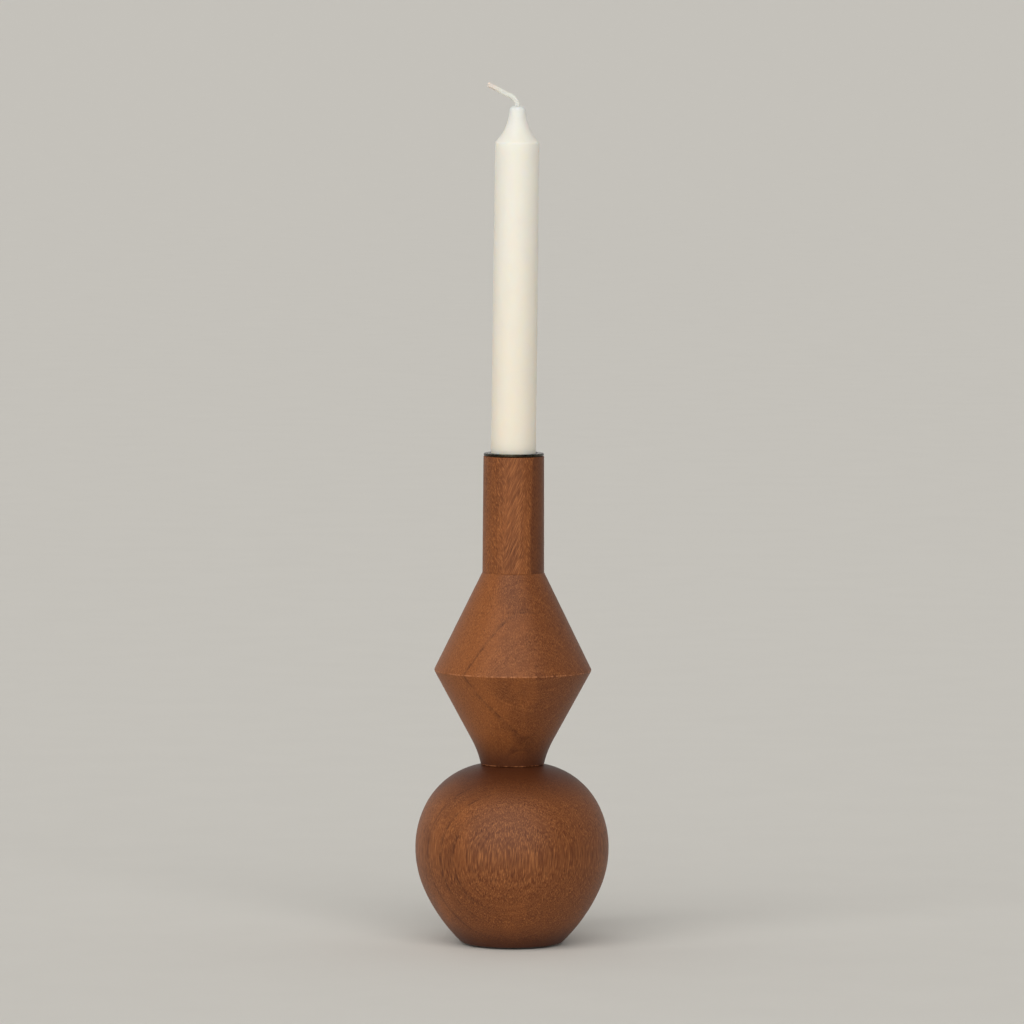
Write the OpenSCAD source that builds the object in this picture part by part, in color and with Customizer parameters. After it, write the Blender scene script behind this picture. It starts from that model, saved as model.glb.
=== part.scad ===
// Turned wooden candlestick with a dinner candle, in millimetres.
// +Z is up and the origin is the middle of the foot, on the table.
// Three turned pieces stand on each other on glued dowels, and a flanged metal cup is screwed into the neck.

/* [Base ball] */
// Radius of the ball at its widest
ball_r = 47.6; // [46:0.1:50]
// Height of the ball's widest place
ball_z = 47.8; // [47.5:0.1:48.5]
// Radius of the arc just above the widest place
shoulder_arc_r = 46; // [45.5:0.5:47]
// Radius of the arc that closes over to the seat
crown_arc_r = 37.5; // [37.5:0.1:40]
// Radius of the arc just under the widest place
belly_arc_r = 51.5; // [50:0.5:56]
// Radius of the long arc that draws in to the foot
flank_arc_r = 83; // [76:1:90]
// Rounding of the foot's edge
foot_edge_r = 2.5; // [1.5:0.5:5]

/* [Felt foot] */
// Radius of the felt disc
felt_r = 20; // [12:0.5:21]
// Thickness of the felt
felt_t = 2; // [1.5:0.1:3]
// How far the felt stands out of its recess
felt_proud = 0.8; // [0.4:0.1:1]

/* [Diamond] */
// Height of the seat between the ball and the diamond
seat_z = 88.8; // [87.5:0.1:88.9]
// Height of the diamond's ridge
ridge_z = 135.4; // [133:0.1:138]
// Radius of the ridge before it is rounded
ridge_r = 38.75; // [37.5:0.05:40]
// Rounding of the ridge
ridge_edge_r = 1.5; // [0.5:0.5:6]
// Slope of the lower cone from the upright, in degrees
lower_slope = 28.5; // [28:0.1:29.5]
// Radius of the cove that ends the lower cone
cove_r = 46; // [40:1:60]
// Height at which the cove starts
cove_top_z = 101; // [98:0.5:104]

/* [Neck] */
// Height of the joint between the diamond and the neck
neck_z = 183.6; // [180:0.1:188]
// Radius of the neck at its foot
neck_foot_r = 15.15; // [14.9:0.05:16]
// Radius of the neck at its top
neck_top_r = 14.9; // [14.6:0.05:15.5]
// Length of the neck
neck_len = 57.2; // [50:0.1:70]

/* [Candle cup] */
// Inside radius of the cup
cup_bore_r = 11.6; // [11.4:0.1:12]
// Inside depth of the cup, from the top of its flange
cup_depth = 25.1; // [20:0.1:28]
// Thickness of the cup's wall
cup_wall = 0.5; // [0.4:0.1:0.8]
// Radius of the flange
flange_r = 14.8; // [14:0.05:15]
// Thickness of the flange
flange_t = 1.5; // [1:0.1:1.8]
// Thickness of the cup's floor
cup_floor_t = 1.6; // [1.5:0.1:2]

/* [Candle] */
// Length of the wax, without the wick
candle_len = 195; // [120:1:290]
// Radius of the candle at its foot
candle_foot_r = 11.1; // [10.8:0.05:11.1]
// Radius of the candle under its shoulder
candle_top_r = 10.8; // [10.4:0.05:10.8]
// How far the candle leans in its cup, in degrees
candle_lean = 0.45; // [0:0.05:0.5]
// Radius of the wick
wick_r = 1.05; // [0.7:0.05:1.2]

/* [Dowels and screw] */
// Radius of the dowel between the ball and the diamond
base_dowel_r = 5; // [4:0.5:6]
// Length of the dowel between the ball and the diamond
base_dowel_len = 40; // [30:1:50]
// Radius of the dowel between the diamond and the neck
neck_dowel_r = 4; // [3:0.5:5]
// Length of the dowel between the diamond and the neck
neck_dowel_len = 30; // [20:1:32]
// Radius of the screw's thread
screw_r = 1.5; // [1.2:0.1:1.7]
// Length of the screw
screw_len = 14; // [10:1:14]

/* [Hidden] */
$fn = 96;

foot_z = felt_proud;                       // underside of the ball's wood
felt_gap = 0.2;                            // round the felt, in its recess
shoulder_arc_end = 27;                     // degrees above level where the shoulder arc hands over
belly_arc_end = -24.5;                     // and where the belly arc hands over to the flank arc
seam_r = 0.1;                              // rounding of edges that meet at a glued joint
lip_r = 0.5;                               // rounding of the diamond's lower edge
glue_gap = 0.05;                           // round a dowel, and round the cup, for glue
dowel_end_gap = 0.5;                       // past each end of a dowel
flutes = 16;                               // grooves round a dowel
flute_r = 0.35;
dowel_chamfer = 1;

neck_top_z = neck_z + neck_len;
flange_top_z = neck_top_z + flange_t;
cup_floor_z = flange_top_z - cup_depth;    // the inside of the floor
cup_out_r = cup_bore_r + cup_wall;
cup_base_z = cup_floor_z - cup_floor_t;
cup_lip_r = 0.35;                          // rounding of the cup's mouth
neck_edge_r = 0.5;                         // rounding of the neck's top edge

screw_top_z = cup_floor_z - 0.15;
screw_head_r = 2.8;
screw_head_t = 1.3;
screw_rim_t = 0.2;                         // the head's straight rim, above its cone
screw_room = 0.1;                          // round the screw, in the cup's floor
screw_slot = [3.2, 0.7, 0.7];              // one arm of the cross recess
screw_core_r = 1.05;
screw_pitch = 1.2;
screw_shank_len = 3;
screw_tip_len = 2;
screw_gap = 0.04;

candle_foot_x = -0.42;                     // the candle's foot sits against one side of the cup
candle_lift = 0.1;                         // and on one edge, because it leans
candle_edge_r = 0.6;
tip_r = 3.95;                              // the crown's narrow top
tip_edge_r = 2.6;
flare_arc_r = 22.6;                        // the hollow sweep from the tip to the shoulder
flare_depth = 6.4;                         // below the tip, where the sweep starts
flare_start_r = 4.6;
flare_slope = 11.5;
shoulder_edge_r = 1;
wick_gap = 0.02;

// Where the wick runs above the tip, as distance along X and height over the tip.
wick_route = [
    [-0.1, 0.7], [-0.5, 1.8], [-1.2, 2.9], [-2.1, 3.9], [-3.3, 4.7], [-4.7, 5.3], [-6.2, 6.0],
    [-7.8, 6.9], [-9.5, 7.8], [-11.2, 8.7], [-12.9, 9.5], [-14.4, 10.2]
];
wick_sides = 12;

// Points on an arc about [cx, cz], from angle a0 to angle a1.
function arc(cx, cz, r, a0, a1, steps = 12) =
    [for (i = [0:steps]) let (a = a0 + (a1 - a0) * i / steps) [cx + r * cos(a), cz + r * sin(a)]];

// The ball's outline, from the middle of the foot round to the middle of the seat.
function ball_outline() =
    let (
        shoulder_cx = ball_r - shoulder_arc_r,
        crown_cx = shoulder_cx + (shoulder_arc_r - crown_arc_r) * cos(shoulder_arc_end),
        crown_cz = ball_z + (shoulder_arc_r - crown_arc_r) * sin(shoulder_arc_end),
        belly_cx = ball_r - belly_arc_r,
        flank_cx = belly_cx + (belly_arc_r - flank_arc_r) * cos(belly_arc_end),
        flank_cz = ball_z + (belly_arc_r - flank_arc_r) * sin(belly_arc_end),
        edge_cz = foot_z + foot_edge_r,
        edge_a = asin((edge_cz - flank_cz) / (flank_arc_r - foot_edge_r)),
        edge_cx = flank_cx + (flank_arc_r - foot_edge_r) * cos(edge_a),
        seat_a = asin((seat_z - crown_cz) / crown_arc_r)
    )
    concat(
        [[0, foot_z]],
        arc(edge_cx, edge_cz, foot_edge_r, -90, edge_a, 8),
        arc(flank_cx, flank_cz, flank_arc_r, edge_a, belly_arc_end, 16),
        arc(belly_cx, ball_z, belly_arc_r, belly_arc_end, 0, 10),
        arc(shoulder_cx, ball_z, shoulder_arc_r, 0, shoulder_arc_end, 12),
        arc(crown_cx, crown_cz, crown_arc_r, shoulder_arc_end, seat_a, 24),
        [[0, seat_z]]
    );

// The diamond's outline: lip, cove, lower cone, ridge, upper cone.
function diamond_outline() =
    let (
        cove_r_top = ridge_r - (ridge_z - cove_top_z) * tan(lower_slope),
        cove_cx = cove_r_top + cove_r * cos(lower_slope),
        cove_cz = cove_top_z - cove_r * sin(lower_slope),
        lip_cz = seat_z + lip_r,
        lip_a = 180 - asin((lip_cz - cove_cz) / (cove_r + lip_r)),
        lip_cx = cove_cx + (cove_r + lip_r) * cos(lip_a),
        upper_slope = atan((ridge_r - neck_foot_r) / (neck_z - ridge_z)),
        ridge_half = (lower_slope + upper_slope) / 2,
        ridge_in = ridge_edge_r / cos(ridge_half),
        ridge_a = (upper_slope - lower_slope) / 2,
        ridge_cx = ridge_r - ridge_in * cos(ridge_a),
        ridge_cz = ridge_z - ridge_in * sin(ridge_a)
    )
    concat(
        [[0, seat_z]],
        arc(lip_cx, lip_cz, lip_r, -90, lip_a - 180, 6),
        arc(cove_cx, cove_cz, cove_r, lip_a, 180 - lower_slope, 10),
        arc(ridge_cx, ridge_cz, ridge_edge_r, -lower_slope, upper_slope, 8),
        [[neck_foot_r + seam_r * tan(upper_slope), neck_z - seam_r], [neck_foot_r - seam_r, neck_z]],
        [[0, neck_z]]
    );

// The neck's outline, with rounded ends.
function neck_outline() = concat(
    [[0, neck_z]],
    arc(neck_foot_r - seam_r, neck_z + seam_r, seam_r, -90, 0, 4),
    arc(neck_top_r - neck_edge_r, neck_top_z - neck_edge_r, neck_edge_r, 0, 90, 6),
    [[0, neck_top_z]]
);

// The cup's outline: a tube with a thick floor and a round-edged flange.
function cup_outline() =
    let (edge = flange_t / 2)
    concat(
        [[0, cup_base_z], [cup_out_r - edge, cup_base_z]],
        [[cup_out_r, cup_base_z + edge], [cup_out_r, neck_top_z]],
        arc(flange_r - edge, neck_top_z + edge, edge, -90, 90, 12),
        arc(cup_bore_r + cup_lip_r, flange_top_z - cup_lip_r, cup_lip_r, 90, 180, 6),
        [[cup_bore_r, cup_floor_z], [0, cup_floor_z]]
    );

// The candle's outline in its own frame, foot at z = 0: straight side, shoulder, hollow flare and tip.
function candle_outline() =
    let (
        flare_cx = flare_start_r + flare_arc_r * cos(flare_slope),
        flare_cz = candle_len - flare_depth + flare_arc_r * sin(flare_slope),
        edge_cx = candle_top_r - shoulder_edge_r,
        reach = flare_arc_r + shoulder_edge_r,
        edge_a = acos((flare_cx - edge_cx) / reach),
        edge_cz = flare_cz - reach * sin(edge_a)
    )
    concat(
        [[0, 0]],
        arc(candle_foot_r - candle_edge_r, candle_edge_r, candle_edge_r, -90, 0, 4),
        arc(edge_cx, edge_cz, shoulder_edge_r, 0, edge_a, 6),
        arc(flare_cx, flare_cz, flare_arc_r, 180 + edge_a, 180 + flare_slope, 14),
        arc(tip_r - tip_edge_r, candle_len - tip_edge_r, tip_edge_r, 0, 90, 8),
        [[0, candle_len]]
    );

// The screw's outline in its own frame, top of the head at z = 0: head, plain shank, thread crests and point.
function screw_outline() =
    let (
        turns = floor((screw_len - screw_head_t - screw_shank_len - screw_tip_len) / screw_pitch),
        groove = [[screw_core_r, 0.3], [screw_core_r, 0.5], [screw_r, 0.8], [screw_r, 0.95]]
    )
    concat(
        [[0, 0], [screw_head_r, 0], [screw_head_r, -screw_rim_t], [screw_r, -screw_head_t]],
        [[screw_r, -screw_head_t - screw_shank_len]],
        [for (i = [0:turns - 1], p = groove)
            [p[0], -screw_head_t - screw_shank_len - (i + p[1]) * screw_pitch]],
        [[screw_core_r, -screw_len + screw_tip_len], [0, -screw_len]]
    );

module turned(outline) {
    rotate_extrude() polygon(outline);
}

// A glue dowel with grooves along it and tapered ends, standing on z = 0.
module fluted_dowel(r, len) {
    intersection() {
        linear_extrude(len) difference() {
            circle(r);
            for (i = [0:flutes - 1]) rotate(i * 360 / flutes) translate([r, 0]) circle(flute_r, $fn = 24);
        }
        rotate_extrude() polygon([
            [0, 0], [r - dowel_chamfer / 2, 0], [r, dowel_chamfer],
            [r, len - dowel_chamfer], [r - dowel_chamfer / 2, len], [0, len]
        ]);
    }
}

// A drilled hole for half of a dowel, from the joint at z = 0 upwards.
module dowel_hole(r, len) {
    translate([0, 0, -1]) cylinder(r = r + glue_gap, h = len / 2 + dowel_end_gap + 1);
}

// Puts the candle's own frame into its cup.
module in_cup() {
    translate([candle_foot_x, 0, cup_floor_z + candle_lift]) rotate([0, candle_lean, 0]) children();
}

module foot_felt() {
    color("#2b2b2b") cylinder(r = felt_r, h = felt_t);
}

module base_ball() {
    color("#7d4a2c") difference() {
        turned(ball_outline());
        translate([0, 0, seat_z]) mirror([0, 0, 1]) dowel_hole(base_dowel_r, base_dowel_len);
        cylinder(r = felt_r + felt_gap, h = felt_t);
    }
}

module base_dowel() {
    color("#cfa878") translate([0, 0, seat_z - base_dowel_len / 2])
        fluted_dowel(base_dowel_r, base_dowel_len);
}

module diamond() {
    color("#85532f") difference() {
        turned(diamond_outline());
        translate([0, 0, seat_z]) dowel_hole(base_dowel_r, base_dowel_len);
        translate([0, 0, neck_z]) mirror([0, 0, 1]) dowel_hole(neck_dowel_r, neck_dowel_len);
    }
}

module neck_dowel() {
    color("#cfa878") translate([0, 0, neck_z - neck_dowel_len / 2])
        fluted_dowel(neck_dowel_r, neck_dowel_len);
}

module neck() {
    color("#845233") difference() {
        turned(neck_outline());
        translate([0, 0, neck_z]) dowel_hole(neck_dowel_r, neck_dowel_len);
        translate([0, 0, cup_base_z]) cylinder(r = cup_out_r + glue_gap, h = neck_top_z);
        translate([0, 0, screw_top_z - screw_len]) cylinder(r = screw_r + screw_gap, h = screw_len);
    }
}

module candle_cup() {
    color("#1c1a18") difference() {
        turned(cup_outline());
        translate([0, 0, cup_base_z - 1]) cylinder(r = screw_r + screw_room, h = cup_floor_t + 2);
        translate([0, 0, screw_top_z - screw_head_t]) cylinder(
            r1 = screw_r + screw_room, r2 = screw_head_r + screw_room, h = screw_head_t - screw_rim_t
        );
        translate([0, 0, screw_top_z - screw_rim_t]) cylinder(r = screw_head_r + screw_room, h = 1);
    }
}

module cup_screw() {
    color("#b9b4a8") translate([0, 0, screw_top_z]) difference() {
        turned(screw_outline());
        for (a = [0, 90]) rotate(a) cube([screw_slot[0], screw_slot[1], 2 * screw_slot[2]], center = true);
    }
}

module candle() {
    color("#ece6d6") in_cup() difference() {
        turned(candle_outline());
        translate([0, 0, -1]) cylinder(r = wick_r + wick_gap, h = candle_len + 2);
    }
}

// The wick: a tube of wick_sides sides along the candle's middle and then along its bent end.
module wick() {
    lift = [for (p = wick_route) [p[0], candle_len + p[1]]];
    path = concat([[0, 0.5], [0, candle_len]], lift);
    last = len(path) - 1;
    rings = [for (i = [0:last])
        let (
            ahead = path[min(i + 1, last)] - path[max(i - 1, 0)],
            side = [ahead[1], -ahead[0]] / norm(ahead),
            taper = i == last ? 0.8 : 1
        )
        [for (k = [0:wick_sides - 1])
            let (a = k * 360 / wick_sides, u = wick_r * taper * cos(a), v = wick_r * taper * sin(a))
            [path[i][0] + side[0] * u, v, path[i][1] + side[1] * u]]];
    points = [for (ring = rings) for (p = ring) p];
    walls = [for (i = [0:last - 1], k = [0:wick_sides - 1])
        let (a = i * wick_sides + k, b = i * wick_sides + (k + 1) % wick_sides)
        [a, a + wick_sides, b + wick_sides, b]];
    foot = [for (k = [0:wick_sides - 1]) k];
    head = [for (k = [wick_sides - 1:-1:0]) last * wick_sides + k];
    color("#efe9dc") in_cup() polyhedron(points, concat(walls, [foot, head]));
}

foot_felt();
base_ball();
base_dowel();
diamond();
neck_dowel();
neck();
candle_cup();
cup_screw();
candle();
wick();
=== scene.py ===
# %% [markdown]
# # A turned candlestick and its candle
#
# The object is three turned pieces of stained hardwood: a ball, a diamond and a straight neck. A pressed
# metal cup sits in the neck and holds a dinner candle. Nearly everything was made by turning, so this lesson
# builds one lathe out of Geometry Nodes and feeds it one outline after another. The plaited wick is the only
# piece that follows a path instead. After the shapes and their finishes come the light and the camera.

# %% Load the frame
import math

import bmesh
import bpy
from mathutils import Matrix, Vector


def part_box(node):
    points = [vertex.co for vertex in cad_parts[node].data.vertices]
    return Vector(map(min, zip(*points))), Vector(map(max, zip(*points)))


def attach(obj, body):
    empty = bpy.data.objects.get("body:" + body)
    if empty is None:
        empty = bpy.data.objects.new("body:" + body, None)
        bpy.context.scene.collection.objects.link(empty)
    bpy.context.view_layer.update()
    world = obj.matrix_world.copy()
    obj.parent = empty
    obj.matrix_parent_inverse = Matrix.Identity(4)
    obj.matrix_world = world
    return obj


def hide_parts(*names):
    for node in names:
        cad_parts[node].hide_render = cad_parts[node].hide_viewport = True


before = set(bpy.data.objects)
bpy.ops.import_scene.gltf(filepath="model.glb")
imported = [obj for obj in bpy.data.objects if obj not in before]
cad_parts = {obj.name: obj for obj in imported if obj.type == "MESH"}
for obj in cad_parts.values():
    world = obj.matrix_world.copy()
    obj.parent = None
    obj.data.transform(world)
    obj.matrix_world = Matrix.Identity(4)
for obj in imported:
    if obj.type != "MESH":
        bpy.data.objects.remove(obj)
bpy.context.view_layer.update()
MM = 0.001
for name in sorted(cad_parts):
    low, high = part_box(name)
    print(f"{name}: {low.z / MM:.1f} to {high.z / MM:.1f} mm high")

# %% [markdown]
# ## Sizes
#
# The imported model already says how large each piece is, so the main sizes are read from its boxes. What a box
# can't say, such as the radius of a curve, is a driving size of the design and is written down where its
# outline is drawn. Outlines are drawn in millimetres, because that is how a turner would draw them.

# %% Read the main sizes
def reach(node):
    """Largest radius, lowest and highest point of a piece that stands on the turned axis, in mm."""
    low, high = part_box(node)
    return high.y / MM, low.z / MM, high.z / MM


ball_r, foot_z, seat_z = reach("base_ball")
ridge_out_r, _, neck_z = reach("diamond")
neck_foot_r, _, neck_top_z = reach("neck")
flange_r, cup_base_z, flange_top_z = reach("candle_cup")
felt_r, _, felt_t = reach("foot_felt")
base_dowel_r, base_dowel_foot_z, base_dowel_top_z = reach("base_dowel")
neck_dowel_r, neck_dowel_foot_z, neck_dowel_top_z = reach("neck_dowel")
screw_head_r, screw_foot_z, screw_top_z = reach("cup_screw")
print(f"ball {2 * ball_r:.1f} mm, ridge {2 * ridge_out_r:.1f} mm, neck {2 * neck_foot_r:.1f} mm across")

# %% [markdown]
# ## Drawing an outline
#
# An outline is a list of points, each a radius and a height, that starts and ends on the turned axis or
# closes on itself. Long straight stretches are cut into short ones, with one more point close beside each
# end. Smooth shading spreads a corner's change of direction over the faces next to it, and those close
# points keep that change where the tool left it.

# %% Arcs and straight cuts
EDGE_HOLD = 0.12  # how close a corner's helper points are, in mm
LONG_CUT = 1.0  # mm; anything shorter is a step of an arc or a fine chamfer, and is left as it is


def arc(centre, radius, start, end, step=0.8):
    """Points on an arc, with angles in degrees and about one point every `step` mm."""
    count = max(4, round(abs(math.radians(end - start)) * radius / step))
    angles = [math.radians(start + (end - start) * i / count) for i in range(count + 1)]
    return [(centre[0] + radius * math.cos(a), centre[1] + radius * math.sin(a)) for a in angles]


def cut_up(points, step=2.0, closed=False):
    """The same outline with long straight stretches divided and corners held."""
    fine = []
    ends = points[1:] + points[:1] if closed else points[1:]
    for here, there in zip(points, ends):
        a = Vector(here)
        b = Vector(there)
        length = (b - a).length
        if length < 1e-5:
            continue
        fine.append(a)
        if length > LONG_CUT:
            fine.append(a.lerp(b, EDGE_HOLD / length))
            count = max(1, round(length / step))
            fine.extend(a.lerp(b, i / count) for i in range(1, count))
            fine.append(a.lerp(b, 1 - EDGE_HOLD / length))
    fine.append(Vector(points[0] if closed else points[-1]))
    return [tuple(p) for p in fine]


print("a quarter of a 10 mm arc has", len(arc((0, 0), 10, 0, 90)), "points")

# %% [markdown]
# ## One small function for nodes
#
# Geometry Nodes and materials are both trees of nodes. This function adds one node. Plain values fill its
# inputs in order. A keyword that starts with a small letter is an option of the node, and one that starts
# with a capital letter is an input. A node given as a value is linked by its first output.

# %% Add a node with its settings and links
def add(tree, kind, *values, **named):
    """Adds a node to a tree, with its options, its values and its links."""
    node = tree.nodes.new(kind)
    for key, value in named.items():
        if key[0].islower():
            setattr(node, key, value)
    pairs = list(zip([s for s in node.inputs if s.enabled], values))
    pairs += [(node.inputs[key.replace("_", " ")], value) for key, value in named.items() if key[0].isupper()]
    for socket, value in pairs:
        if isinstance(value, bpy.types.Node):
            value = next(s for s in value.outputs if s.enabled)
        if isinstance(value, bpy.types.NodeSocket):
            tree.links.new(value, socket)
        else:
            socket.default_value = value
    return node


def new_tree(name, **sizes):
    """A Geometry Nodes group whose inputs are a geometry, the named sizes and a material."""
    tree = bpy.data.node_groups.new(name, "GeometryNodeTree")
    sides = tree.interface
    sides.new_socket("Geometry", in_out="INPUT", socket_type="NodeSocketGeometry")
    for key, value in sizes.items():
        kind = "NodeSocketInt" if isinstance(value, int) else "NodeSocketFloat"
        sides.new_socket(key, in_out="INPUT", socket_type=kind).default_value = value
    sides.new_socket("Material", in_out="INPUT", socket_type="NodeSocketMaterial")
    sides.new_socket("Geometry", in_out="OUTPUT", socket_type="NodeSocketGeometry")
    return tree, add(tree, "NodeGroupInput").outputs


def close_tree(tree, geometry, material):
    """Ends a tree: instances become real mesh, and every face gets the material."""
    real = add(tree, "GeometryNodeRealizeInstances", geometry)
    dressed = add(tree, "GeometryNodeSetMaterial", real, Material=material)
    add(tree, "NodeGroupOutput", dressed)
    return tree


# %% [markdown]
# ## The lathe
#
# A lathe shape could be made with the Screw modifier or with bmesh's spin. Here it is a Geometry Nodes tree,
# because the rule is then in plain sight: take a grid with one row for each point of the outline and one
# column for each step round, and move every grid point to its radius, angle and height. Sampling the outline
# point by point, and not at even lengths, keeps each corner exactly where it was drawn. Merging the points
# that land on each other closes the seam and the poles.

# %% Build the lathe tree
def build_lathe():
    tree, given = new_tree("lathe", Steps=160)
    size = add(tree, "GeometryNodeAttributeDomainSize", given["Geometry"], component="CURVE")
    columns = add(tree, "ShaderNodeMath", given["Steps"], 1.0, operation="ADD")
    grid = add(tree, "GeometryNodeMeshGrid", Vertices_X=size.outputs["Point Count"], Vertices_Y=columns)
    index = add(tree, "GeometryNodeInputIndex")
    ratio = add(tree, "ShaderNodeMath", index, columns, operation="DIVIDE")
    row = add(tree, "ShaderNodeMath", ratio, operation="FLOOR")
    column = add(tree, "ShaderNodeMath", index, columns, operation="FLOORED_MODULO")
    turn = add(tree, "ShaderNodeMath", column, given["Steps"], operation="DIVIDE")
    angle = add(tree, "ShaderNodeMath", turn, math.tau, operation="MULTIPLY")
    place = add(tree, "GeometryNodeInputPosition")
    drawn = add(tree, "GeometryNodeSampleIndex", given["Geometry"], place, row, data_type="FLOAT_VECTOR")
    turned = add(tree, "ShaderNodeVectorRotate", rotation_type="Z_AXIS", Vector=drawn, Angle=angle)
    shaped = add(tree, "GeometryNodeSetPosition", grid, Position=turned)
    joined = add(tree, "GeometryNodeMergeByDistance", shaped, Distance=2e-6)
    smooth = add(tree, "GeometryNodeSetShadeSmooth", joined)
    return close_tree(tree, smooth, given["Material"])


LATHE = build_lathe()
print("the lathe has", len(LATHE.nodes), "nodes")

# %% [markdown]
# ## From a tree to a plain mesh
#
# A modifier's inputs are set by their identifiers before the object is first evaluated. `new_from_object` on
# the evaluated object then gives a plain mesh, and the object with the modifier is thrown away. Merged poles
# can leave faces turned either way, so the normals are worked out again on the finished mesh.

# %% Run a tree on a line of points
def line_of_points(name, points, closed=False):
    """A poly curve through points in the XZ plane, given in mm."""
    curve = bpy.data.curves.new(name + "_line", "CURVE")
    curve.dimensions = "3D"
    spline = curve.splines.new("POLY")
    spline.points.add(len(points) - 1)
    for point, (x, z) in zip(spline.points, points):
        point.co = (x * MM, 0, z * MM, 1)
    spline.use_cyclic_u = closed
    drawn = bpy.data.objects.new(name + "_line", curve)
    bpy.context.scene.collection.objects.link(drawn)
    return drawn


def face_outwards(mesh):
    """Makes every face of a closed mesh point away from its inside."""
    work = bmesh.new()
    work.from_mesh(mesh)
    bmesh.ops.recalc_face_normals(work, faces=work.faces)
    work.to_mesh(mesh)
    work.free()


def made_by(tree, name, source, material, place=None, **sizes):
    """Evaluates a tree on a source object and returns a plain mesh piece with its place in its mesh."""
    modifier = source.modifiers.new("make", "NODES")
    modifier.node_group = tree
    for item in tree.interface.items_tree:
        if item.in_out == "INPUT" and item.name in sizes:
            modifier[item.identifier] = sizes[item.name]
        if item.in_out == "INPUT" and item.name == "Material":
            modifier[item.identifier] = material
    seen = source.evaluated_get(bpy.context.evaluated_depsgraph_get())
    mesh = bpy.data.meshes.new_from_object(seen)
    bpy.data.objects.remove(source)
    mesh.name = name
    if place is not None:
        mesh.transform(place)
    face_outwards(mesh)
    piece = bpy.data.objects.new(name, mesh)
    bpy.context.scene.collection.objects.link(piece)
    print(f"{name}: {len(mesh.vertices)} points, {len(mesh.polygons)} faces")
    return piece


def turn_piece(name, outline, material, steps=160, place=None, step=2.0, closed=False):
    """Turns an outline into a finished piece."""
    source = line_of_points(name, cut_up(outline, step, closed))
    return made_by(LATHE, name, source, material, place, Steps=steps)


# %% [markdown]
# ## Colour and coordinates
#
# Hex colours are how a paint or stain looks on a screen. Shaders work with light, so one function turns hex
# values into linear ones. Every pattern here starts from object coordinates in millimetres, so a scale of 2
# on a noise means two lumps in each millimetre.

# %% Hex to linear, and the start of a material
def linear(code):
    """An sRGB hex colour as linear values."""
    parts = [int(code[i:i + 2], 16) / 255 for i in (1, 3, 5)]
    return tuple(c / 12.92 if c <= 0.04045 else ((c + 0.055) / 1.055) ** 2.4 for c in parts) + (1.0,)


def new_material(name):
    """An empty material, its tree, and its object coordinates in millimetres."""
    material = bpy.data.materials.new(name)
    material.use_nodes = True
    tree = material.node_tree
    tree.nodes.clear()
    where = add(tree, "ShaderNodeTexCoord").outputs["Object"]
    return material, tree, add(tree, "ShaderNodeVectorMath", where, Scale=1 / MM, operation="SCALE")


SMOOTH = {"interpolation_type": "SMOOTHSTEP"}  # a Map Range node that eases in and out
COLOUR = {"data_type": "RGBA"}  # a Mix node for colours
LINE_1D = {"noise_dimensions": "1D"}  # a Noise Texture node along one number
print("mid brown in linear light:", [round(c, 3) for c in linear("#7a4526")[:3]])

# %% [markdown]
# ## Stained mahogany
#
# Wood isn't a picture wrapped round a shape: the figure runs through the whole block, and turning cuts into
# it. So this material is a solid one. It measures how far each point is from the pith, the middle of the
# tree, which lies outside the piece. Growth layers are surfaces of equal distance. Where the ball's curve
# cuts them they show as nested ovals, and on the cones they become slanting lines that meet at the ridge.
#
# Mahogany has more marks. Its pores are short dark scratches along the fibres, and dots where a surface cuts
# across them. Its fibres lean one way in one layer and the other way in the next, which is why the neck shows
# slanting streaks. The stain sinks deeper into some layers than into others. The wood is oiled, which gives
# it a soft satin sheen and leaves the pores open, and at sharp edges the sanding went through the stain.

# %% How coarse the wood's marks are
PORE_GAP = 0.95  # mm between pores across the fibres; real ones are finer, and wouldn't show at this size
PORE_LENGTH = 8.0  # mm along the fibres
FIBRE_GAP = 0.38  # mm between streaks of fibre, drawn a little coarse so that they show
FIBRE_LENGTH = 11.0
FINE_LAYER_GAP = 0.9  # mm between the thin layers within one year's growth
LATE_GROWTH = 2.2  # mm over which the wood darkens towards the end of a year's growth
GROWTH_LINE = 0.25  # mm over which it is pale again
RIBBON_GAP = 16.0  # mm of depth in which the lean of the fibres goes over to the other side and back
DEEP_STAIN_AND_SHADE = "#673617"
STAIN_WARM = "#844a21"
STAIN_PALE = "#a96b3b"
DARK_STAIN_AND_SHADE = "#451f0b"
PORE_BROWN = "#331608"
RUBBED_EDGE = "#b3744c"
print(f"{1 / FIBRE_GAP:.1f} fibres and {1 / PORE_GAP:.1f} pores to a millimetre")

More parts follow.
